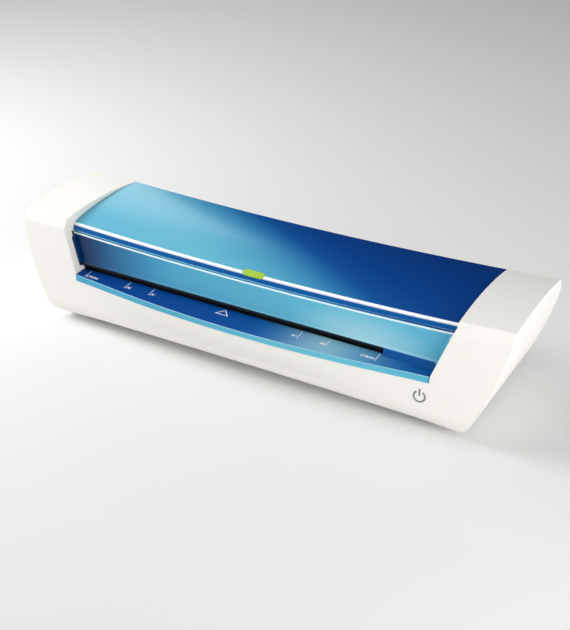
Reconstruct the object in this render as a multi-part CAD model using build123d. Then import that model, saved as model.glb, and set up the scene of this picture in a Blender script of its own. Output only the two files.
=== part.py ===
from build123d import *
import os
from math import cos, pi, radians, sin

# Compact desktop roller laminator for A4 pouches.  Millimetres, +Z up, front at -Y.
# Origin: centre of the footprint, on the surface that the rubber feet stand on.

# ---- overall body ----
half_length = 174.2        # widest half length, at the shoulders
body_rear = 52.5           # rear face
wall = 2.2                 # moulded wall thickness
fit_gap = 0.25             # gap round the inset covers
shell_bottom = 2.7         # underside of the shell near the ends
base_arch = 5.0            # rise of the underside in the middle
arch_half = 160.0
top_sag = 5.0              # dip of the top and the crease in the middle
nose_bulge = 9.5           # how far the front swells under the tray, in the middle
bulge_half = 125.0
bulge_blend = 105.0        # where the swell starts to fade into the flat ends
bulge_end = 150.0

# ---- end profile of the body, in Y and Z ----
top_rear = (43.0, 74.3)
top_crown = (4.75, 77.5)
crease_top = (-33.5, 74.6)
crease_low = (-38.6, 68.8)
front_mid = (-41.8, 44.0)
front_lip = (-42.8, 34.0)
front_low = (-43.6, 24.0)
front_toe = (-44.4, 14.0)
rear_shoulder = (50.9, 62.4)
rear_knee = 46.0
toe_radius = 10.0
heel_radius = 5.0
crease_radius = 2.0

# ---- front outline of the body, in X and Z ----
outline_foot = 151.0
outline_waist = (164.4, 33.5)
outline_shoulder = 72.0
outline_corner = 20.0

# ---- opening for the coloured covers ----
opening_top = 140.5        # half width from the crease to the rear
opening_crease = 70.0
opening_tray = 129.0       # half width at the tray
tray_level = 37.7
opening_floor = 34.0

# ---- top cover and front panel ----
cover_tail = (44.0, 72.6)    # small lip that turns down over the rear edge
cover_crown = (7.0, 75.1)
cover_crease = (-28.0, 70.0)
cover_band = (-31.4, 65.6)
cover_radius = 3.0
band_radius = 0.8
panel_foot = (-34.0, 42.4)
panel_lip = 1.6
block_x = 96.0             # right end of the slot, closed by a block on the panel

# ---- pouch path ----
path_x = -14.0             # centre of the pouch path, from the body centre
path_z = 39.0
slot_half = 114.0
slot_y = -34.0
tray_slope = 4.0           # degrees down to the front

# ---- roller train ----
gear_module = 1.0
roller_teeth = 18
idler_teeth = 10
pinion_teeth = 12
roller_pitch = gear_module * roller_teeth
nip_gap = 0.3
roller_radius = (roller_pitch - nip_gap) / 2
core_radius = 5.0
journal_radius = 3.0
running_gap = 0.05
front_nip_y = -2.0
rear_nip_y = front_nip_y + gear_module * (roller_teeth + idler_teeth)
lower_z = path_z - roller_pitch / 2
upper_z = path_z + roller_pitch / 2
idler_y = front_nip_y + gear_module * (roller_teeth + idler_teeth) / 2
pinion_y = front_nip_y - gear_module * (roller_teeth + pinion_teeth) / 2
gear_x = 111.0
gear_width = 6.0
frame_left = -137.5        # outer face of the left side frame
frame_right = 106.0        # inner face of the right side frame
frame_thickness = 1.5
frame_xs = (frame_left, frame_right)
plate_left, plate_right = frame_left + frame_thickness, frame_right
frame_foot = 8.5           # underside of the side frames, on the pads of the base
sleeve_half = 117.0
block_half, block_low, block_high = 5.0, upper_z - 6.0, upper_z + 6.0
spring_top = 62.0
coil_radius, coil_wire, coil_turns = 3.0, 0.35, 5

# ---- motor and electrics ----
motor_x = 118.5
motor_radius = 15.5
motor_hole_r = 18.5         # screw circle of the motor's two ears
motor_length = 20.0
motor_shaft_radius = 2.0
motor_holes = [(pinion_y + motor_hole_r * cos(radians(a)), lower_z + motor_hole_r * sin(radians(a)))
               for a in (110, -70)]
pocket_y = 50.1            # face of the recess that holds the switch and the inlet
switch_x, switch_z = 127.0, 20.0
inlet_x, inlet_z = 96.0, 20.0
rocker_axis_y = pocket_y - 2.0
rocker_rest = -8.0         # degrees, off position
board_x0, board_x1, board_y0, board_y1, board_z = 118.5, 148.0, 1.0, 29.0, 17.0
board_thickness = 1.6
rocker_pin = 1.0           # radius of the studs that the rocker turns on

# ---- feet and fasteners ----
foot_x, foot_front_y, foot_rear_y = 118.0, -25.0, 38.0
foot_radius = 7.0
foot_height = 4.2
screw_x, screw_front_y, screw_rear_y = 142.0, -25.0, 38.0
screw_radius, head_radius = 1.4, 3.2
boss_radius, recess_radius = 4.4, 3.6
boss_top = 66.2            # posts of the housing end below the top cover

stations = [0, 30, 60, 85, 105, 120, 135, 150, 165, 178]
parts = {}


def sag(x):
    return top_sag * (1 - (x / half_length) ** 2)


def arch(x):
    return base_arch * max(0.0, 1 - (x / arch_half) ** 2)


def bulge(x):
    """Forward swell of the front face: a parabola that fades into the flat ends."""
    u = abs(x)
    if u <= bulge_blend:
        return nose_bulge * (1 - (u / bulge_half) ** 2)
    if u >= bulge_end:
        return 0.0
    span = bulge_end - bulge_blend
    start = nose_bulge * (1 - (bulge_blend / bulge_half) ** 2)
    slope = -2 * nose_bulge * bulge_blend / bulge_half ** 2
    t = (u - bulge_blend) / span
    return start * (2 * t**3 - 3 * t**2 + 1) + span * slope * (t**3 - 2 * t**2 + t)


def x_plane(x):
    """Sketch plane square to X, with its own axes along Y and Z."""
    return Plane(origin=(x, 0, 0), x_dir=(0, 1, 0), z_dir=(1, 0, 0))


def box(x0, x1, y0, y1, z0, z1):
    return Pos((x0 + x1) / 2, (y0 + y1) / 2, (z0 + z1) / 2) * Box(x1 - x0, y1 - y0, z1 - z0)


def rod(radius, x0, x1, y, z):
    return Pos((x0 + x1) / 2, y, z) * Rot(0, 90, 0) * Cylinder(radius, x1 - x0)


def post(radius, x, y, z0, z1):
    return Pos(x, y, (z0 + z1) / 2) * Cylinder(radius, z1 - z0)


def near_corner(sketch, y, z):
    return sketch.vertices().sort_by_distance((y, z, 0))[0]


def body_section(x, inset):
    """Closed profile of the body at one station, drawn inset from the outer skin."""
    s, a, b, t = sag(x), arch(x), bulge(x), inset
    top = (top_rear[0] - t, top_rear[1] - s - t)
    crown = (top_crown[0], top_crown[1] - s - t)
    high = (crease_top[0] + t * 0.6, crease_top[1] - s - t)
    low = (crease_low[0] + t, crease_low[1] - s - t * 0.4)
    front = [low, (front_mid[0] + t - 0.7 * b, front_mid[1]),
             (front_lip[0] + t - b, front_lip[1]),
             (front_low[0] + t - 0.75 * b, front_low[1]),
             (front_toe[0] + t - 0.3 * b, front_toe[1] + 0.5 * a)]
    floor = shell_bottom + a + t
    toe = (front[-1][0] + toe_radius - t, floor)
    heel = (body_rear - heel_radius, floor)
    rear_low = (body_rear - t, floor + heel_radius - t)
    knee = (body_rear - t, rear_knee)
    shoulder = (rear_shoulder[0] - t, rear_shoulder[1] - 0.6 * s)
    edges = [
        ThreePointArc(top, crown, high),
        Line(high, low),
        Spline(*front),
        Spline(front[-1], toe, tangents=[(0.05, -1), (1, 0)]),
        Line(toe, heel),
        Spline(heel, rear_low, tangents=[(1, 0), (0, 1)]),
        Line(rear_low, knee),
        Spline(knee, shoulder, top, tangents=[(0, 1), (-0.53, 0.85)]),
    ]
    face = make_face(edges)
    corners = [near_corner(face, *high), near_corner(face, *low)]
    return x_plane(x) * fillet(corners, crease_radius)


def skin(section, *args):
    both = sorted({-x for x in stations} | set(stations))
    return loft([section(x, *args) for x in both])


def outline(inset):
    """Front outline of the body, extruded from front to rear."""
    t = inset
    left = ThreePointArc((-half_length + t, outline_shoulder), (-outline_waist[0] + t, outline_waist[1]),
                         (-outline_foot + t, shell_bottom + t))
    right = ThreePointArc((outline_foot - t, shell_bottom + t), (outline_waist[0] - t, outline_waist[1]),
                          (half_length - t, outline_shoulder))
    rim = Polyline((half_length - t, outline_shoulder), (half_length - t, 90),
                   (-half_length + t, 90), (-half_length + t, outline_shoulder))
    floor = Line((-outline_foot + t, shell_bottom + t), (outline_foot - t, shell_bottom + t))
    face = make_face([left, floor, right, rim])
    corners = [near_corner(face, side * (outline_foot - t), shell_bottom + t) for side in (-1, 1)]
    face = fillet(corners, outline_corner - t)
    return extrude(Plane.XZ * face, 60, both=True)


def opening(grow):
    """Wedge-sided space for the coloured covers, from the front to the rear edge."""
    top, tray = opening_top + grow, opening_tray + grow
    half = [(tray, opening_floor), (tray, tray_level), (top, opening_crease), (top, 95)]
    points = half + [(-x, z) for x, z in reversed(half)]
    face = make_face(Polyline(*points, points[0]))
    return extrude(Plane.XZ * face, 70, both=True)


def clip(half, y0, y1, z0, z1):
    return box(-half, half, y0, y1, z0, z1)


def x_prism(points, x0, x1):
    """Straight prism along X from a closed outline in Y and Z."""
    face = make_face(Polyline(*points, points[0]))
    return extrude(x_plane(x0) * face, x1 - x0)


# ---- white shells ----
def make_shells():
    outer = skin(body_section, 0.0) & outline(0.0)
    shell = outer - (skin(body_section, wall) & outline(wall))
    window = opening(0.0) & clip(200, -80, cover_tail[0] + fit_gap, 0, 100)
    rear_zone = x_prism([(top_rear[0], 90), (top_rear[0], 73.2), (40, 70), (47.5, 58),
                         (49.9, 46), (49.9, 0), (70, 0), (70, 90)], -200, 200)
    base_zone = clip(149, -34, 49.9, 0, 12)

    side_return = outer & (opening(wall) - opening(0.0)) & clip(200, -80, top_rear[0], opening_floor, 100)
    side_return -= clip(200, -33, 80, 30, 64)
    ledge = (outer & clip(131, -60, -38, opening_floor - 2, opening_floor))
    housing = (shell - window - base_zone) + side_return + ledge
    for x in (-screw_x, screw_x):
        for y in (screw_front_y, screw_rear_y):
            housing += post(head_radius, x, y, 12.1, boss_top) - post(screw_radius, x, y, 10, 26)
    housing -= rear_zone

    base = shell & base_zone
    for x in (-foot_x, foot_x):
        for y in (foot_front_y, foot_rear_y):
            base += post(foot_radius + 1, x, y, foot_height, frame_foot)
    for x in (-screw_x, screw_x):
        for y in (screw_front_y, screw_rear_y):
            base += post(boss_radius, x, y, 5.0, 12)
            base -= post(screw_radius + 0.4, x, y, 0, 14) + post(recess_radius, x, y, 0, 8.0)
    for x0 in frame_xs:
        for y0 in (-29, 23):
            base += box(x0 + 1, x0 + 9, y0, y0 + 13, 6, frame_foot)
    base -= vent_slots()

    rear = (shell & rear_zone) - window
    rear -= box(inlet_x - 14, switch_x + 14, pocket_y, 60, switch_z - 10, switch_z + 10)
    rear += box(inlet_x - 16, switch_x + 16, pocket_y - wall, pocket_y, switch_z - 10.8, switch_z + 11.5)
    rear -= box(path_x - slot_half - 1, path_x + slot_half + 1, 40, 60, path_z - 2.6, path_z + 2.6)
    rear -= box(switch_x - 9.6, switch_x + 9.6, 40, 60, switch_z - 6.5, switch_z + 6.5)
    rear -= box(inlet_x - 10, inlet_x + 10, 40, 60, inlet_z - 6, inlet_z + 6)
    return housing, base, rear


def vent_slots():
    """Two rows of cooling slots through the base."""
    slots = Part()
    for x in range(-90, 91, 12):
        for y in (-18, 24):
            slots += Pos(x, y, 6) * Box(4, 16, 16)
    return slots


# ---- coloured covers ----
def cover_section(x):
    """Thin profile of the top cover with its crease band."""
    s, t = sag(x), 2.0
    rear, crown = (top_rear[0], top_rear[1] - s), (cover_crown[0], cover_crown[1] - s)
    tail, in_tail = (cover_tail[0], cover_tail[1] - s), (cover_tail[0] - 1.7, cover_tail[1] - s - 0.9)
    in_rear = (top_rear[0] - 1.6, top_rear[1] - s - t)
    crease, band = (cover_crease[0], cover_crease[1] - s), (cover_band[0], cover_band[1] - s)
    in_band, in_crease = (band[0] + t, band[1] - 0.3), (crease[0] + 0.8, crease[1] - t)
    face = make_face([ThreePointArc(rear, crown, crease), Line(crease, band), Line(band, in_band),
                      Line(in_band, in_crease),
                      ThreePointArc(in_crease, (crown[0], crown[1] - t), in_rear),
                      Line(in_rear, in_tail), Line(in_tail, tail), Line(tail, rear)])
    face = fillet(near_corner(face, *crease), cover_radius)
    return x_plane(x) * fillet(near_corner(face, *band), band_radius)


def panel_section(x):
    """Thin profile of the front panel: leaning face and a flared lower lip."""
    t = 2.0
    head = (cover_band[0] - 0.1, cover_band[1] - sag(x) - 0.15)
    waist = (panel_foot[0], panel_foot[1] + 4.2)
    lip = (panel_foot[0] - panel_lip, panel_foot[1])
    face = make_face([Line(head, waist), Spline(waist, lip, tangents=[(-0.1, -1), (-0.8, -0.6)]),
                      Line(lip, (lip[0] + 0.3 + t, lip[1])),
                      Line((lip[0] + 0.3 + t, lip[1]), (waist[0] + t, waist[1])),
                      Line((waist[0] + t, waist[1]), (head[0] + t, head[1] - 0.3)),
                      Line((head[0] + t, head[1] - 0.3), head)])
    return x_plane(x) * fillet(near_corner(face, *head), band_radius)


def make_top_cover():
    return skin(cover_section) & opening(-fit_gap)


def make_front_panel():
    panel = skin(panel_section)
    cheeks = x_prism([(-31.6, 62.0), (-34.8, 60.5), (-36.9, 42.6), (-33, 42.6)], -150, 150)
    cheeks &= opening(-fit_gap) - opening(-fit_gap - 1.5)
    cheek_block = x_prism([(-34.1, 45.5), (-36.6, 38.85), (-34.0, 39.05), (-33.6, 43.5)], block_x, 140)
    return (panel + cheeks + cheek_block) & opening(-fit_gap)


def lip_line(offset, z):
    """Front edge of the tray in plan."""
    points = [(x, front_lip[0] - bulge(x) + offset) for x in range(-140, 141, 20)]
    return Plane(origin=(0, 0, z)) * Spline(*points)


def tray_plan(offset, back, z0, z1):
    front = lip_line(offset, z0)
    a, b = front @ 0, front @ 1
    rim = Polyline(b, (b.X, back, z0), (a.X, back, z0), a)
    return extrude(make_face([front, rim]), z1 - z0)


def make_tray():
    """Sloping tray with a skirt that hangs over the shelf of the housing."""
    tray = tray_plan(-0.35, slot_y - 0.1, opening_floor + 0.05, 41)
    tray -= tray_plan(1.8, slot_y + 1, opening_floor - 1, 36.2)
    above = Pos(0, slot_y, path_z) * Rot(tray_slope, 0, 0) * Pos(0, 0, 10) * Box(400, 80, 20)
    return (tray - above) & opening(-fit_gap)


def make_light():
    """Ready light: a pill set across the crease, and the hole that it fills."""
    lens_x, lens_half, lens_r = 1.7, 7.8, 2.4
    s = sag(lens_x)
    tilt = Plane(origin=(lens_x, cover_crease[0] + 1.2, cover_crease[1] - s - 0.9),
                 x_dir=(1, 0, 0), z_dir=(0, -0.55, 1))
    pill = SlotOverall(2 * lens_half, 2 * lens_r)
    hole = extrude(tilt * offset(pill, 0.1), 8, both=True)
    return extrude(tilt * pill, -3.5) + extrude(tilt * pill, 1.0), hole


# ---- roller train ----
def gear(teeth, width, bore, tooth_at):
    """Spur gear with thinned, straight-sided teeth; tooth_at is one tooth's angle from +Y."""
    pitch_r = gear_module * teeth / 2
    root_r, tip_r = pitch_r - 1.2 * gear_module, pitch_r + 0.9 * gear_module
    step = 2 * pi / teeth
    points = []
    for k in range(teeth):
        middle = radians(tooth_at) + k * step
        for radius, half in ((root_r, 0.30), (pitch_r, 0.215), (tip_r, 0.10)):
            points.append((radius * cos(middle - half * step), radius * sin(middle - half * step)))
        for radius, half in ((tip_r, 0.10), (pitch_r, 0.215), (root_r, 0.30)):
            points.append((radius * cos(middle + half * step), radius * sin(middle + half * step)))
    face = make_face(Polyline(*points, points[0])) - Circle(bore)
    return extrude(face, width)


def gear_at(teeth, y, z, tooth_at, bore):
    place = Plane(origin=(gear_x, y, z), x_dir=(0, 1, 0), z_dir=(1, 0, 0))
    return place * gear(teeth, gear_width, bore, tooth_at)


def roller(y, z, tooth_at):
    left, right = frame_left + frame_thickness + 1.4, frame_right - 1.4
    shaft = rod(core_radius, left, right, y, z)
    shaft += rod(journal_radius, frame_left - 2.5, gear_x + gear_width + 0.5, y, z)
    sleeve = rod(roller_radius, path_x - sleeve_half, path_x + sleeve_half, y, z)
    sleeve -= rod(core_radius, path_x - sleeve_half - 1, path_x + sleeve_half + 1, y, z)
    return shaft, sleeve, gear_at(roller_teeth, y, z, tooth_at, journal_radius)


def side_frame(x0):
    """Steel side plate with bush holes below and a window for each sliding block above."""
    plate = box(x0, x0 + frame_thickness, -30, 40, frame_foot, 65)
    plate -= box(x0 - 1, x0 + 3, -40, -12, 52, 80)
    for y in (front_nip_y, rear_nip_y):
        plate -= rod(5, x0 - 1, x0 + 3, y, lower_z)
        plate -= box(x0 - 1, x0 + 3, y - block_half - 0.2, y + block_half + 0.2, block_low - 0.3, spring_top)
    for y0 in (-30, 22):
        plate += box(x0, x0 + 10, y0, y0 + 15, frame_foot, frame_foot + frame_thickness)
    return plate


def bushes():
    rings = Part()
    for x0 in frame_xs:
        for y in (front_nip_y, rear_nip_y):
            ring = rod(5, x0 - 0.8, x0 + frame_thickness, y, lower_z)
            ring += rod(6.2, x0 - 0.8, x0, y, lower_z)
            rings += ring - rod(journal_radius + running_gap, x0 - 2, x0 + 3, y, lower_z)
    return rings


def blocks(y):
    pair = Part()
    for x0 in frame_xs:
        block = box(x0 - 1.0, x0 + frame_thickness + 0.1, y - block_half, y + block_half,
                    block_low, block_high)
        pair += block - rod(journal_radius + running_gap, x0 - 3, x0 + 4, y, upper_z)
    return pair


def springs(y):
    """One compression spring above each block."""
    pair = Part()
    height = spring_top - block_high - 0.8
    for x0 in frame_xs:
        path = Helix(pitch=height / coil_turns, height=height, radius=coil_radius)
        section = Plane(path @ 0, z_dir=path % 0) * Circle(coil_wire)
        pair += Pos(x0 + 0.75, y, block_high + 0.4) * sweep(section, path=path, is_frenet=True)
    return pair


# ---- heaters and guides ----


def heater(z_face, up):
    """Aluminium channel whose face lies along the pouch path, with a rounded entry."""
    h = 7.0 * up
    bar = x_prism([(-28.5, z_face + 2 * up), (-26, z_face), (-12, z_face), (-12, z_face + h),
                   (-28.5, z_face + h)], plate_left, plate_right)
    return bar - box(plate_left + 3, plate_right - 3, -24, -15, *sorted((z_face + 3 * up, z_face + 8 * up)))


def exit_guide(z_face, up):
    """Bridge from the rear rollers to the exit slot."""
    return x_prism([(36.4, z_face + 3.2 * up), (38, z_face + 0.6 * up), (49.8, z_face),
                    (49.8, z_face + 2 * up), (39, z_face + 4 * up)], plate_left, plate_right)


def entry_guide(y_front, z_face, up):
    """Black strip that leads the pouch from the slot to the heaters."""
    return x_prism([(y_front, z_face + 0.2 * up), (-28.6, z_face), (-28.6, z_face + 1.6 * up),
                    (y_front, z_face + 1.8 * up)], path_x - slot_half + 0.3, path_x + slot_half - 0.3)


def tie_bars():
    """Rods with turned-down ends that hold the side frames apart."""
    bars = Part()
    for y, z in ((-20.6, 20), (33, 20), (12, 58.5)):
        bars += rod(3, plate_left, plate_right, y, z) + rod(1.5, frame_left - 2, plate_left, y, z)
        bars += rod(1.5, plate_right, plate_right + frame_thickness + 2, y, z)
    return bars


# ---- motor ----
def motor():
    """Round synchronous gear motor with two ears and a bore for its output shaft."""
    can = rod(motor_radius, motor_x + 1.5, motor_x + motor_length, pinion_y, lower_z)
    bar = Pos(motor_x + 0.75, pinion_y, lower_z) * Rot(20, 0, 0) * Box(1.5, 8, 2 * motor_hole_r + 6)
    ears = bar + rod(motor_radius, motor_x, motor_x + 1.5, pinion_y, lower_z)
    for y, z in motor_holes:
        ears -= rod(1.5, motor_x - 1, motor_x + 3, y, z)
    return can + ears - rod(motor_shaft_radius + running_gap, motor_x - 1, motor_x + 9, pinion_y, lower_z)


def motor_bracket():
    """Two standoffs that carry the motor on the right side frame."""
    posts = Part()
    for y, z in motor_holes:
        posts += rod(2.8, plate_right + frame_thickness, motor_x, y, z)
    return posts


def motor_screws():
    screws = Part()
    for y, z in motor_holes:
        screws += rod(2.7, motor_x + 1.5, motor_x + 3.2, y, z) + rod(1.5, motor_x, motor_x + 1.5, y, z)
    return screws


# ---- electrics ----
def board_parts():
    """Transformer, relay, capacitors and terminal block, each a separate solid."""
    top = board_z + board_thickness
    made = {"board_transformer": box(120, 135, 3, 17, top, top + 13),
            "board_relay": box(138, 147, 3, 17, top, top + 11),
            "board_terminals": box(120, 140, 20, 27, top, top + 8)}
    caps = Part()
    for x in (143, 147.5):
        caps += post(2.0, x, 22, top, top + 9)
    made["board_capacitors"] = caps
    return made


def board_posts():
    legs = Part()
    for x in (board_x0 + 3, board_x1 - 3):
        for y in (board_y0 + 3, board_y1 - 3):
            legs += post(2.4, x, y, 6.0, board_z)
    return legs


def switch_case():
    """Snap-in switch body: bezel outside the rear face, case inside, mouth for the rocker."""
    x, z = switch_x, switch_z
    case = box(x - 10.5, x + 10.5, pocket_y, pocket_y + 1.2, z - 7.5, z + 7.5)
    case += box(x - 9.5, x + 9.5, pocket_y - 14, pocket_y, z - 6.4, z + 6.4)
    case -= box(x - 8.0, x + 8.0, pocket_y - 8, pocket_y + 3, z - 5.2, z + 5.2)
    case -= post(rocker_pin + running_gap, x, rocker_axis_y, z - 6.0, z + 6.0)
    for dx in (-6, 0, 6):
        case += box(x + dx - 0.4, x + dx + 0.4, pocket_y - 20, pocket_y - 14, z - 2.4, z + 2.4)
    return case


def switch_rocker():
    """Rocker with a V-shaped face that turns on two studs in the sides of the case."""
    x, z, y = switch_x, switch_z, rocker_axis_y
    face = make_face(Polyline((-7.4, -2.6), (-7.4, 3.2), (0, 1.6), (7.4, 3.2), (7.4, -2.6), (3, -4),
                              (-3, -4), (-7.4, -2.6)))
    cap = extrude(Plane.XY * face, 4.9, both=True)
    return Pos(x, y, z) * Rot(0, 0, rocker_rest) * cap + post(rocker_pin, x, y, z - 5.8, z + 5.8)


def inlet():
    """Two-pin mains inlet: an oval well with two pins."""
    x, z = inlet_x, inlet_z
    well = Plane(origin=(x, pocket_y + 1.0, z), x_dir=(1, 0, 0), z_dir=(0, -1, 0))
    body = extrude(well * Rectangle(22, 13.5), 1.0) + extrude(well * Rectangle(19.6, 11.6), 14)
    body -= extrude(well * SlotOverall(15.6, 7.6), 11)
    for dx in (-3.9, 3.9):
        body += extrude(Plane(origin=(x + dx, pocket_y - 1.5, z), z_dir=(0, -1, 0)) * Circle(1.2), 12)
    return body


# ---- assembly ----
parts["housing"], parts["base_plate"], parts["rear_cover"] = make_shells()
lens, lens_hole = make_light()
parts["top_cover"] = make_top_cover() - lens_hole
parts["front_panel"] = make_front_panel() - lens_hole
parts["feed_tray"] = make_tray()
parts["ready_light"] = lens
for end, y in (("front", front_nip_y), ("rear", rear_nip_y)):
    for level, z, tooth_at in (("lower", lower_z, 90), ("upper", upper_z, 80)):
        name = f"{end}_{level}"
        parts[name + "_shaft"], parts[name + "_sleeve"], parts[name + "_gear"] = roller(y, z, tooth_at)
parts["idler_gear"] = gear_at(idler_teeth, idler_y, lower_z, 0, 1.5 + running_gap)
parts["idler_pin"] = rod(1.5, plate_right, gear_x + gear_width + 1.4, idler_y, lower_z)
parts["idler_pin"] += rod(2.6, plate_right + frame_thickness, gear_x - 0.3, idler_y, lower_z)
parts["idler_pin"] += rod(2.6, gear_x + gear_width + 0.3, gear_x + gear_width + 1.1, idler_y, lower_z)
parts["motor_pinion"] = gear_at(pinion_teeth, pinion_y, lower_z, 0, motor_shaft_radius)
parts["motor_shaft"] = rod(motor_shaft_radius, gear_x, motor_x + 8, pinion_y, lower_z)
parts["side_frame_left"] = side_frame(frame_left)
parts["side_frame_right"] = side_frame(frame_right) - rod(1.5, 100, 112, idler_y, lower_z)
parts["lower_bushes"] = bushes()
for name, y in (("front", front_nip_y), ("rear", rear_nip_y)):
    parts[name + "_bearing_blocks"] = blocks(y)
    parts[name + "_pressure_springs"] = springs(y)
parts["tie_bars"] = tie_bars()
for name in ("side_frame_left", "side_frame_right"):
    parts[name] -= parts["tie_bars"]
parts["upper_heater"], parts["lower_heater"] = heater(path_z + 1.3, 1), heater(path_z - 1.3, -1)
parts["entry_guide_upper"] = entry_guide(-32.0, 42.0, 1)
parts["entry_guide_lower"] = entry_guide(slot_y + 0.1, 38.4, -1)
parts["exit_guide_upper"] = exit_guide(path_z + 2.1, 1)
parts["exit_guide_lower"] = exit_guide(path_z - 2.1, -1)
parts["heat_shield"] = box(plate_left, plate_right, 16, 36, 62.6, 63.4)
parts["thermostat"] = box(-30, -16, -23.9, -15.1, path_z + 4.3, path_z + 10)
parts["thermal_fuse"] = rod(1.8, 10, 22, -19.5, path_z + 6.1)
parts["motor"], parts["motor_standoffs"], parts["motor_screws"] = motor(), motor_bracket(), motor_screws()
parts["control_board"] = box(board_x0, board_x1, board_y0, board_y1, board_z, board_z + board_thickness)
parts["board_posts"] = board_posts() - parts["base_plate"]
parts.update(board_parts())
parts["switch_case"], parts["power_rocker"] = switch_case(), switch_rocker()
parts["mains_inlet"] = inlet()
parts["light_board"] = box(-8, 11, -28.5, -22.0, 58.6, 59.8)
feet, screws = Part(), Part()
for x in (-foot_x, foot_x):
    for y in (foot_front_y, foot_rear_y):
        feet += post(foot_radius, x, y, 0, foot_height)
for x in (-screw_x, screw_x):
    for y in (screw_front_y, screw_rear_y):
        screws += post(head_radius, x, y, 6.0, 8.0) + post(screw_radius, x, y, 8.0, 22)
parts["rubber_feet"], parts["base_screws"] = feet, screws

os.makedirs("parts", exist_ok=True)
for name, solid in parts.items():
    export_step(solid, f"parts/{name}.step")
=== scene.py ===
import math

import bmesh
import bpy
from mathutils import Matrix, Vector
from mathutils.bvhtree import BVHTree


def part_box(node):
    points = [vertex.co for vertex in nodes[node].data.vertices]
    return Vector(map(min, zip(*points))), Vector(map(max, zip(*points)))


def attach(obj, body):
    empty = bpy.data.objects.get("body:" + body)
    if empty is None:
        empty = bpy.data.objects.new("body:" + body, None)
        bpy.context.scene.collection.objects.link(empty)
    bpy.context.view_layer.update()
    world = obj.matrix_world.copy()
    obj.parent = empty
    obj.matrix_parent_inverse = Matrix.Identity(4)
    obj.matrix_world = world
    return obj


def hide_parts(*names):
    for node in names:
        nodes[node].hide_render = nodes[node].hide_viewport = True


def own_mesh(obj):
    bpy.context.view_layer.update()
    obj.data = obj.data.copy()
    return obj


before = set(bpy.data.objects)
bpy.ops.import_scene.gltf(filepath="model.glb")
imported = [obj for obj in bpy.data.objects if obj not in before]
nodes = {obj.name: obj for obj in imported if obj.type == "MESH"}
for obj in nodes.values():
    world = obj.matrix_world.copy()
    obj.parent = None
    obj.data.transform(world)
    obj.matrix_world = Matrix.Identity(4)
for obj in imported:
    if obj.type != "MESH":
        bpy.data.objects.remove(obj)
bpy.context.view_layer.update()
MM = 0.001
STAND_OFF = 0.01                        # how far before a surface a print starts
MARK_REACH = 0.0045                     # on and off marks, from the rocker's middle
PRINT_LIFT = 0.00005
LETTER_WEIGHT = 0.00011                 # thickens the small letters
TOP_DIP, HALF_LENGTH = 0.005, 0.1742    # dip of the top in its middle, and where it ends
CREASE = (-0.0280, 0.0697)              # y and z of the cover's crease at the ends
PANEL_HEAD = (-0.0318, 0.0652)
BLOCK_START = 0.096                     # where the blue block beside the slot begins

# ---- places that come from the frame ----
tray_lo, tray_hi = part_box("feed_tray")
housing_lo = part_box("housing")[0]


# ---- node helpers ----
class Maker:
    """Builds one node-based material."""

    def __init__(self, name):
        self.mat = bpy.data.materials.new(name)
        self.mat.use_nodes = True
        self.tree = self.mat.node_tree
        self.shader = self.tree.nodes["Principled BSDF"]
        self.coords = self.new("ShaderNodeTexCoord").outputs["Object"]
        # on the front panel this mask also paints the foot dark, as painted shade
        self.matt = None    # 0..1 where a detail wants the surface matt

    def new(self, kind, **values):
        node = self.tree.nodes.new(kind)
        for key, value in values.items():
            setattr(node, key, value)
        return node

    def wire(self, out, socket):
        self.tree.links.new(out, socket)

    def set(self, **values):
        for key, value in values.items():
            self.shader.inputs[key.replace("_", " ")].default_value = value

    def noise(self, scale, detail=3.0, rough=0.5, stretch=(1, 1, 1)):
        """Noise over the object, with scale in features per metre."""
        mapping = self.new("ShaderNodeMapping")
        mapping.inputs["Scale"].default_value = stretch
        self.wire(self.coords, mapping.inputs["Vector"])
        noise = self.new("ShaderNodeTexNoise")
        noise.inputs["Scale"].default_value = scale
        noise.inputs["Detail"].default_value = detail
        noise.inputs["Roughness"].default_value = rough
        self.wire(mapping.outputs["Vector"], noise.inputs["Vector"])
        return noise.outputs["Fac"]

    def spread(self, source, low, high, start=0.3, end=0.7):
        """Maps a value from start..end to low..high."""
        node = self.new("ShaderNodeMapRange")
        node.inputs["From Min"].default_value = start
        node.inputs["From Max"].default_value = end
        node.inputs["To Min"].default_value = low
        node.inputs["To Max"].default_value = high
        self.wire(source, node.inputs["Value"])
        return node.outputs["Result"]

    def ramp(self, source, stops):
        node = self.new("ShaderNodeValToRGB")
        ramp = node.color_ramp
        ramp.interpolation = "B_SPLINE"
        while len(ramp.elements) < len(stops):
            ramp.elements.new(0.5)
        for element, (place, color) in zip(ramp.elements, stops):
            element.position = place
            element.color = (*color, 1)
        self.wire(source, node.inputs["Fac"])
        return node.outputs["Color"]

    def mix(self, factor, a, b):
        node = self.new("ShaderNodeMix", data_type="RGBA")
        self.wire(factor, node.inputs["Factor"])
        for value, socket in ((a, node.inputs[6]), (b, node.inputs[7])):
            if isinstance(value, tuple):
                socket.default_value = (*value, 1)
            else:
                self.wire(value, socket)
        return node.outputs[2]

    def bump(self, height, strength, distance):
        node = self.new("ShaderNodeBump")
        node.inputs["Strength"].default_value = strength
        node.inputs["Distance"].default_value = distance
        self.wire(height, node.inputs["Height"])
        self.wire(node.outputs["Normal"], self.shader.inputs["Normal"])

    def color(self, out):
        self.wire(out, self.shader.inputs["Base Color"])

    def roughness(self, out):
        self.wire(out, self.shader.inputs["Roughness"])

    def along(self, x, y, z, shift=0.0):
        """Distance in metres along a direction, from a shifted start."""
        dot = self.new("ShaderNodeVectorMath", operation="DOT_PRODUCT")
        dot.inputs[1].default_value = (x, y, z)
        self.wire(self.coords, dot.inputs[0])
        add = self.new("ShaderNodeMath", operation="ADD")
        add.inputs[1].default_value = shift
        self.wire(dot.outputs["Value"], add.inputs[0])
        return add.outputs["Value"]


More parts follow.
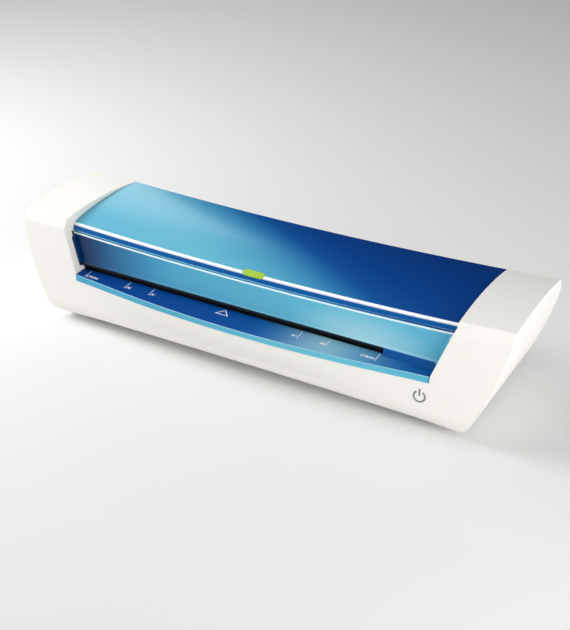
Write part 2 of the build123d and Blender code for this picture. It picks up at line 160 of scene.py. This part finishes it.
def dress(material, *names):
    for name in names:
        mesh = nodes[name].data
        mesh.materials.clear()
        mesh.materials.append(material)


def moulded(name, color, shade, rough=0.4, grain=0.35, coat=0.0, specular=0.5):
    """Moulded plastic: slight colour drift, fine spark texture and uneven gloss."""
    m = Maker(name)
    m.color(m.mix(m.noise(18, 4), shade, color))
    m.roughness(m.spread(m.noise(900, 2), rough - 0.06, rough + 0.06))
    m.bump(m.noise(2600, 2, 0.6), grain, 0.00012)
    m.set(IOR=1.5, Coat_Weight=coat, Coat_Roughness=0.12, Specular_IOR_Level=specular)
    return m.mat


def metal(name, color, rough=0.3, stretch=(1, 1, 1), scale=600):
    m = Maker(name)
    dark = tuple(0.78 * c for c in color)
    grain = m.noise(scale, 4, 0.65, stretch)
    m.color(m.mix(m.spread(grain, 0, 1), dark, color))
    m.roughness(m.spread(grain, rough - 0.08, rough + 0.12))
    m.bump(grain, 0.15, 0.00005)
    m.set(Metallic=1.0)
    return m.mat


white = moulded("white_shell", (0.94, 0.92, 0.865), (0.925, 0.905, 0.85), 0.45, 0.1, specular=0.25)


def srgb(r, g, b):
    """Linear colour from 0..255 display values."""
    return tuple(c / 255 / 12.92 if c <= 10 else ((c / 255 + 0.055) / 1.055) ** 2.4
                 for c in (r, g, b))


def painted_reflection_blue(name, direction, shift, span, stops, detail=None, gloss=0.5, rough=0.19):
    """Glossy blue that shifts along a direction over a span in metres, a painted reflection running from
    pale to deep blue.
    """
    m = Maker(name)
    place = m.spread(m.along(*direction, shift), 0, 1, 0, span)
    base = m.ramp(place, [(at, srgb(*c)) for at, c in stops])
    if detail:
        base = detail(m, base)
    m.color(m.mix(m.spread(m.noise(900, 3), 0, 0.05), base, srgb(20, 110, 180)))
    roughness = m.spread(m.noise(300, 2), rough - 0.02, rough + 0.03)
    if m.matt:
        rougher = m.new("ShaderNodeMath", operation="MAXIMUM")
        m.wire(roughness, rougher.inputs[0])
        m.wire(m.matt, rougher.inputs[1])
        roughness = rougher.outputs["Value"]
    m.roughness(roughness)
    m.bump(m.noise(1800, 1), 0.02, 0.00005)
    m.set(IOR=1.5, Specular_IOR_Level=gloss)
    return m.mat


def facing(m, x, y, z, start, end):
    """0..1 where the surface faces a direction."""
    dot = m.new("ShaderNodeVectorMath", operation="DOT_PRODUCT")
    dot.inputs[1].default_value = (x, y, z)
    m.wire(m.new("ShaderNodeTexCoord").outputs["Normal"], dot.inputs[0])
    return m.spread(dot.outputs["Value"], 0, 1, start, end)


def painted_highlight_line(m, base, y, z, inner, outer, color):
    """A painted highlight line along an edge that dips with the top: full colour within inner, none beyond
    outer.
    """
    across = m.new("ShaderNodeSeparateXYZ")
    m.wire(m.coords, across.inputs["Vector"])
    bow = m.new("ShaderNodeMath", operation="MULTIPLY")
    m.wire(across.outputs["X"], bow.inputs[0])
    m.wire(across.outputs["X"], bow.inputs[1])
    level = m.new("ShaderNodeMath", operation="MULTIPLY_ADD")
    m.wire(bow.outputs["Value"], level.inputs[0])
    level.inputs[1].default_value = -TOP_DIP / HALF_LENGTH ** 2
    m.wire(across.outputs["Z"], level.inputs[2])
    flat = m.new("ShaderNodeCombineXYZ")
    m.wire(across.outputs["Y"], flat.inputs["Y"])
    m.wire(level.outputs["Value"], flat.inputs["Z"])
    far = m.new("ShaderNodeVectorMath", operation="DISTANCE")
    m.wire(flat.outputs["Vector"], far.inputs[0])
    far.inputs[1].default_value = (0, y, z - TOP_DIP)
    return m.mix(m.spread(far.outputs["Value"], 1, 0, inner, outer), base, color)


def band_shade_and_crease_highlight(m, base):
    """Painted shade: the deeper blue of the band below the cover's crease; painted highlight: the pale line
    on the crease.
    """
    band = m.mix(facing(m, 0, -0.79, 0.61, 0.93, 0.965), base, srgb(0, 88, 160))
    return painted_highlight_line(m, band, *CREASE, 0.0006, 0.0015, srgb(250, 253, 255))


def lip_reflection(m, base):
    """The pale band on the front edge of the tray, a painted reflection on the faces that look forward."""
    stops = [(0, (76, 167, 206)), (0.5, (98, 190, 217)), (0.75, (116, 206, 226)), (1, (88, 180, 212))]
    place = m.spread(m.along(1, 0, 0, 0.13), 0, 1, 0, 0.26)
    band = m.ramp(place, [(at, srgb(*color)) for at, color in stops])
    return m.mix(facing(m, 0, -1, 0, 0.5, 0.6), base, band)


def panel_painted_light(m, base):
    """Painted light on the front panel: a paler pool low on the right as a painted highlight, a pale line
    along the head as a painted highlight, and a foot of painted shade, near-black over the slot and deep
    blue on the block beside it."""
    far = m.new("ShaderNodeVectorMath", operation="DISTANCE")
    flat = m.new("ShaderNodeMapping")
    flat.inputs["Scale"].default_value = (0.35, 0, 1.0)
    m.wire(m.coords, flat.inputs["Vector"])
    m.wire(flat.outputs["Vector"], far.inputs[0])
    far.inputs[1].default_value = (0.35 * 0.082, 0, 0.045)
    pool = m.mix(m.spread(far.outputs["Value"], 0.75, 0, 0.001, 0.017), base, srgb(185, 230, 239))
    pool = painted_highlight_line(m, pool, *PANEL_HEAD, 0.0005, 0.0010, srgb(225, 243, 250))
    past_slot = m.spread(m.along(1, 0, 0), 0, 1, BLOCK_START - 0.0005, BLOCK_START)
    beside = m.mix(past_slot, (0.001, 0.003, 0.008), srgb(0, 84, 156))
    # the foot mask: paints the foot dark as painted shade, and makes it matt
    m.matt = m.spread(m.along(0, 0, 1), 1, 0, 0.0434, 0.0438)
    return m.mix(m.matt, pool, beside)


def make_lens():
    """Green lens of the ready light, painted deeper where it turns away from above as a painted shade."""
    m = Maker("green_lens")
    m.color(m.mix(facing(m, 0, 0, 1, 0.3, 0.6), (0.16, 0.38, 0.008), (0.36, 0.58, 0.03)))
    m.roughness(m.spread(m.noise(900, 2), 0.36, 0.44))
    m.set(Specular_IOR_Level=0.08)
    return m.mat


# cover ramp: a painted reflection, pale cyan toward the left front where a softbox would reflect, deep navy
# toward the right rear
cover_reflection_stops = [(0, (104, 189, 217)), (0.18, (112, 197, 222)), (0.29, (97, 187, 215)), (0.38, (80, 168, 206)),
               (0.456, (54, 141, 192)), (0.53, (8, 95, 166)), (0.574, (0, 78, 154)), (0.68, (0, 66, 144)),
               (1.0, (0, 50, 123))]
cover_blue = painted_reflection_blue("cover_blue", (1, 1.8, 0), 0.15, 0.34, cover_reflection_stops, band_shade_and_crease_highlight, 0.35)
# panel ramp: navy at the far left as painted shade, then pale cyan with a brighter stretch right of the
# middle as painted reflection
panel_reflection_stops = [(0, (0, 34, 85)), (0.08, (8, 80, 132)), (0.2, (60, 150, 196)), (0.3, (82, 175, 209)),
               (0.6, (94, 186, 214)), (0.78, (110, 199, 222)), (1.0, (90, 182, 213))]
panel_blue = painted_reflection_blue("panel_blue", (1, 0, 0), 0.13, 0.26, panel_reflection_stops, panel_painted_light, 0.25)
# tray ramp: deep blue with a paler patch on the right half as a painted reflection
tray_reflection_stops = [(0, (0, 60, 138)), (0.52, (0, 70, 150)), (0.62, (30, 105, 165)), (0.72, (150, 195, 212)),
              (0.8, (105, 165, 195)), (0.9, (20, 100, 165)), (1.0, (0, 66, 144))]
tray_blue = painted_reflection_blue("tray_blue", (1, 0, 0), 0.13, 0.26, tray_reflection_stops, lip_reflection, 0.08, 0.32)
black = moulded("black_plastic", (0.012, 0.012, 0.013), (0.018, 0.018, 0.02), 0.5, 0.4)
steel = metal("zinc_steel", (0.62, 0.63, 0.65), 0.36)
shaft_steel = metal("ground_steel", (0.7, 0.7, 0.71), 0.22, (0.05, 1, 1), 1500)
aluminium = metal("aluminium", (0.75, 0.76, 0.78), 0.32, (0.03, 1, 1), 1200)
brass = metal("brass", (0.72, 0.52, 0.22), 0.28)
rubber = moulded("black_rubber", (0.02, 0.02, 0.02), (0.03, 0.03, 0.03), 0.75, 0.5)
silicone = moulded("silicone", (0.36, 0.07, 0.045), (0.31, 0.06, 0.04), 0.55, 0.2)
acetal = moulded("acetal", (0.82, 0.8, 0.74), (0.76, 0.74, 0.68), 0.38, 0.1)
board = moulded("green_board", (0.02, 0.13, 0.05), (0.015, 0.1, 0.04), 0.35, 0.1, 0.4)
terminal = moulded("green_terminal", (0.03, 0.2, 0.06), (0.025, 0.17, 0.05), 0.45, 0.2)
relay = moulded("relay_blue", (0.02, 0.06, 0.3), (0.02, 0.05, 0.26), 0.4, 0.2)
lens = make_lens()
ink_white = moulded("ink_white", (0.86, 0.9, 0.93), (0.78, 0.84, 0.9), 0.5, 0.1)
ink_grey = moulded("ink_grey", (0.2, 0.2, 0.195), (0.24, 0.24, 0.235), 0.5, 0.1)
# pale blue of the tray rim bead, a painted highlight
rim_highlight_blue = moulded("rim_highlight_blue", (0.3, 0.6, 0.72), (0.26, 0.56, 0.69), 0.3, 0.05, 0.2)

dress(white, "housing", "base_plate", "rear_cover")
dress(cover_blue, "top_cover")
dress(panel_blue, "front_panel")
dress(tray_blue, "feed_tray")
dress(lens, "ready_light")
dress(black, "entry_guide_upper", "entry_guide_lower", "exit_guide_upper", "exit_guide_lower",
      "switch_case", "power_rocker", "mains_inlet", "board_transformer", "board_capacitors", "thermostat")
dress(rubber, "rubber_feet")
dress(steel, "side_frame_left", "side_frame_right", "tie_bars", "motor", "motor_standoffs", "motor_shaft",
      "motor_screws", "base_screws", "idler_pin", "front_pressure_springs", "rear_pressure_springs")
dress(aluminium, "upper_heater", "lower_heater", "heat_shield")
dress(brass, "motor_pinion")
dress(board, "control_board", "light_board")
dress(terminal, "board_terminals")
dress(relay, "board_relay")
dress(acetal, "lower_bushes", "front_bearing_blocks", "rear_bearing_blocks", "idler_gear", "board_posts",
      "thermal_fuse", *[f"{end}_{level}_gear" for end in ("front", "rear") for level in ("lower", "upper")])
for end in ("front", "rear"):
    for level in ("lower", "upper"):
        dress(shaft_steel, f"{end}_{level}_shaft")
        dress(silicone, f"{end}_{level}_sleeve")


# ---- pressure springs ----
def coil_pair(end):
    """The two springs above one upper roller, as a copy of the CAD node fixed on the chassis."""
    node = f"{end}_pressure_springs"
    coils = bpy.data.objects.new(f"{end}_coil_springs", nodes[node].data.copy())
    bpy.context.scene.collection.objects.link(coils)
    coils.matrix_world = nodes[node].matrix_world
    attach(coils, "chassis")
    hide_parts(node)
    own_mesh(coils)


coil_pair("front")
coil_pair("rear")


# ---- printed marks and small trim ----
def surface(name):
    """Ray-casting tree of a CAD node."""
    mesh = bmesh.new()
    mesh.from_mesh(nodes[name].data)
    tree = BVHTree.FromBMesh(mesh)
    mesh.free()
    return tree


def decal(name, mesh, place, node, material, body):
    """Lays a flat mesh on a node: place carries it to a plane in front of the surface, facing local +Z."""
    tree = surface(node)
    outward = (place.to_3x3() @ Vector((0, 0, 1))).normalized()
    for vertex in mesh.vertices:
        start = place @ vertex.co
        hit = tree.ray_cast(start, -outward)[0]
        vertex.co = (hit if hit else start) + outward * PRINT_LIFT
    mesh.update()
    mesh.materials.clear()
    mesh.materials.append(material)
    piece = bpy.data.objects.new(name, mesh)
    bpy.context.scene.collection.objects.link(piece)
    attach(piece, body)


def flat_mesh(name, shapes):
    """Faces in the local XY plane from closed outlines, in millimetres; pairs of outlines make a ring."""
    work = bmesh.new()
    for shape in shapes:
        if isinstance(shape, tuple):
            outer, inner = ([work.verts.new((x * MM, y * MM, 0)) for x, y in loop] for loop in shape)
            for i in range(len(outer)):
                k = (i + 1) % len(outer)
                work.faces.new((outer[i], outer[k], inner[k], inner[i]))
        else:
            work.faces.new([work.verts.new((x * MM, y * MM, 0)) for x, y in shape])
    mesh = bpy.data.meshes.new(name)
    work.to_mesh(mesh)
    work.free()
    return mesh


def bar(x, y0, y1, width):
    """Outline of a bar along Y, in millimetres."""
    half = width / 2
    return [(x - half, y0), (x + half, y0), (x + half, y1), (x - half, y1)]


def arc(radius, start, end, steps=28):
    return [(radius * math.cos(math.radians(start + (end - start) * i / steps)),
             radius * math.sin(math.radians(start + (end - start) * i / steps))) for i in range(steps + 1)]


def bent_band(radius, width, start, end):
    """Quads of a band bent along an arc."""
    outer, inner = arc(radius + width / 2, start, end), arc(radius - width / 2, start, end)
    return [[outer[i], outer[i + 1], inner[i + 1], inner[i]] for i in range(len(outer) - 1)]


def text_mesh(name, words, height, anchor):
    curve = bpy.data.curves.new(name, "FONT")
    curve.body, curve.align_x, curve.align_y = words, anchor, "CENTER"
    curve.size = height * MM / 0.7
    curve.offset = LETTER_WEIGHT
    holder = bpy.data.objects.new(name, curve)
    bpy.context.scene.collection.objects.link(holder)
    bpy.context.view_layer.update()
    mesh = bpy.data.meshes.new_from_object(holder.evaluated_get(bpy.context.evaluated_depsgraph_get()))
    bpy.data.objects.remove(holder)
    return mesh


slot_y = tray_hi.y
path_x = (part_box("entry_guide_upper")[0].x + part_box("entry_guide_upper")[1].x) / 2
sizes = (("LTR_A4", "LTR/A4", 108.0), ("A5", "A5", 75.0), ("A6", "A6", 55.5))
above_tray = Matrix.Translation((path_x, slot_y, tray_hi.z + STAND_OFF))
for tag, words, reach in sizes:
    for side, side_name in ((-1, "left"), (1, "right")):
        mark = flat_mesh("mark", [bar(side * reach, -8.8, -1.0, 0.42)])
        decal(f"size_mark_{tag}_{side_name}", mark, above_tray, "feed_tray", ink_white, "chassis")
        label = text_mesh("label", words, 2.0, "LEFT" if side < 0 else "RIGHT")
        shift = Matrix.Translation((side * (reach - 1.1) * MM, -7.2 * MM, 0))
        decal(f"size_label_{tag}_{side_name}", label, above_tray @ shift, "feed_tray", ink_white, "chassis")
outside = [(-5, -7.3), (5, -7.3), (0, -1.4)]
inside = [(-3.75, -6.75), (3.75, -6.75), (0, -2.3)]
arrow = flat_mesh("arrow", [(outside, inside)])
decal("feed_arrow", arrow, above_tray, "feed_tray", ink_white, "chassis")


def tray_rim_highlight():
    """Fine pale-blue bead along the front rim of the tray, standing in as a painted highlight on the rounded
    rim.
    """
    tree = surface("feed_tray")
    points = []
    reach = tray_hi.x - 0.0006
    for i in range(61):
        x = -reach + 2 * reach * i / 60
        down = tree.ray_cast(Vector((x, tray_lo.y - 0.01, tray_hi.z - 0.0019)), Vector((0, 1, 0)))[0]
        top = tree.ray_cast(Vector((x, down.y + 0.0004, tray_hi.z + 0.01)), Vector((0, 0, -1)))[0]
        points.append((x, down.y + 0.00012, top.z - 0.00012))
    curve = bpy.data.curves.new("tray_rim_highlight_bead", "CURVE")
    curve.dimensions = "3D"
    curve.bevel_depth, curve.bevel_resolution = 0.00024, 3
    spline = curve.splines.new("POLY")
    spline.points.add(len(points) - 1)
    for point, place in zip(spline.points, points):
        point.co = (*place, 1)
    bead = bpy.data.objects.new("tray_rim_highlight_bead", curve)
    bpy.context.scene.collection.objects.link(bead)
    curve.materials.append(rim_highlight_blue)
    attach(bead, "chassis")


tray_rim_highlight()

facing_front = Matrix.Rotation(math.radians(90), 4, "X")
facing_rear = Matrix.Rotation(math.radians(180), 4, "Z") @ facing_front
power_x, power_z = 0.124, 0.024
power = flat_mesh("power", [*bent_band(3.5, 1.1, 122, 418), bar(0, 0.5, 5.2, 1.1)])
power_spot = Matrix.Translation((power_x, housing_lo.y - STAND_OFF, power_z)) @ facing_front
decal("power_symbol", power, power_spot, "housing", ink_grey, "chassis")
rocker_lo, rocker_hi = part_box("power_rocker")
rocker_mid = (rocker_lo + rocker_hi) / 2
for tag, shapes, side in (("on", [bar(0, -1.6, 1.6, 0.6)], 1), ("off", bent_band(1.4, 0.55, 0, 360), -1)):
    place = (rocker_mid.x + side * MARK_REACH, rocker_hi.y + STAND_OFF, rocker_mid.z)
    spot = Matrix.Translation(place) @ facing_rear
    decal(f"rocker_mark_{tag}", flat_mesh(tag, shapes), spot, "power_rocker", ink_white, "rocker")


# ---- stage, light and camera ----
def make_floor():
    mesh = bpy.data.meshes.new("floor")
    size = 6.0
    corners = [(-size, -size, 0), (size, -size, 0), (size, size, 0), (-size, size, 0)]
    mesh.from_pydata(corners, [], [(0, 1, 2, 3)])
    floor = bpy.data.objects.new("floor", mesh)
    bpy.context.scene.collection.objects.link(floor)
    m = Maker("floor")
    m.color(m.mix(m.noise(3, 2), (0.85, 0.85, 0.85), (0.87, 0.87, 0.87)))
    m.set(Roughness=0.9, IOR=1.2)
    mesh.materials.append(m.mat)


def area_light(name, place, target, size, radiance, diffuse=True, glossy=True):
    """A rectangular softbox whose brightness is a radiance, whatever its size."""
    data = bpy.data.lights.new(name, "AREA")
    data.shape = "RECTANGLE"
    data.size, data.size_y = size
    data.energy = radiance * math.pi * size[0] * size[1]
    light = bpy.data.objects.new(name, data)
    bpy.context.scene.collection.objects.link(light)
    light.location = place
    light.rotation_mode = "QUATERNION"
    light.rotation_quaternion = (Vector(target) - Vector(place)).to_track_quat("-Z", "Y")
    light.visible_diffuse, light.visible_glossy = diffuse, glossy
    return light


def make_world():
    """Even white surround for soft light, and a dark one for the reflections between the softboxes."""
    world = bpy.data.worlds.new("studio")
    bpy.context.scene.world = world
    world.use_nodes = True
    tree = world.node_tree
    background = tree.nodes["Background"]
    path = tree.nodes.new("ShaderNodeLightPath")
    fill, seen = (tree.nodes.new("ShaderNodeMapRange") for _ in range(2))
    fill.inputs["To Min"].default_value = 0.3
    fill.inputs["To Max"].default_value = 0.02
    seen.inputs["To Max"].default_value = 0.93
    tree.links.new(path.outputs["Is Glossy Ray"], fill.inputs["Value"])
    tree.links.new(fill.outputs["Result"], seen.inputs["To Min"])
    tree.links.new(path.outputs["Is Camera Ray"], seen.inputs["Value"])
    tree.links.new(seen.outputs["Result"], background.inputs["Strength"])
    background.inputs["Color"].default_value = (1.0, 1.0, 1.0, 1)


def make_camera():
    data = bpy.data.cameras.new("camera")
    data.lens = 64.0
    data.sensor_width = 36.0
    data.clip_start, data.clip_end = 0.01, 20
    camera = bpy.data.objects.new("camera", data)
    bpy.context.scene.collection.objects.link(camera)
    azimuth, elevation = math.radians(30.044), math.radians(29.02)
    back = Vector((math.sin(azimuth) * math.cos(elevation), -math.cos(azimuth) * math.cos(elevation),
                   math.sin(elevation)))
    camera.location = (0.32941, -0.55479, 0.38017)
    camera.rotation_mode = "QUATERNION"
    camera.rotation_quaternion = (-back).to_track_quat("-Z", "Y")
    bpy.context.scene.camera = camera


make_floor()
make_world()
middle = (0, 0, 0.05)
# lamps that light the surfaces: place, target, size and radiance
for name, place, target, size, radiance in (
        ("left_near", (-0.72, -0.2, 0.55), (-0.1, 0, 0.05), (0.5, 0.5), 7.7),
        ("right_low", (1.2, -0.3, 0.28), middle, (0.6, 0.45), 5.2),
        ("right_near", (0.62, -0.35, 0.25), (0.15, 0, 0.05), (0.4, 0.35), 4.1),
        ("back_left", (-0.8, 0.6, 1.1), middle, (0.8, 0.8), 1.4)):
    area_light(name, place, target, size, radiance, glossy=False)
# softboxes that only show as reflections
area_light("cover_box", (-1.35, 0.98, 0.62), middle, (1.1, 1.1), 1.6, diffuse=False)
overhead = area_light("crease_box", (-0.72, -0.08, 1.35), middle, (1.3, 0.8), 9, diffuse=False)
overhead.rotation_quaternion = (1, 0, 0, 0)
area_light("rim_box", (-0.75, -1.35, 0.5), middle, (1.6, 0.3), 14, diffuse=False)
make_camera()
bpy.context.scene.view_settings.view_transform = "Standard"
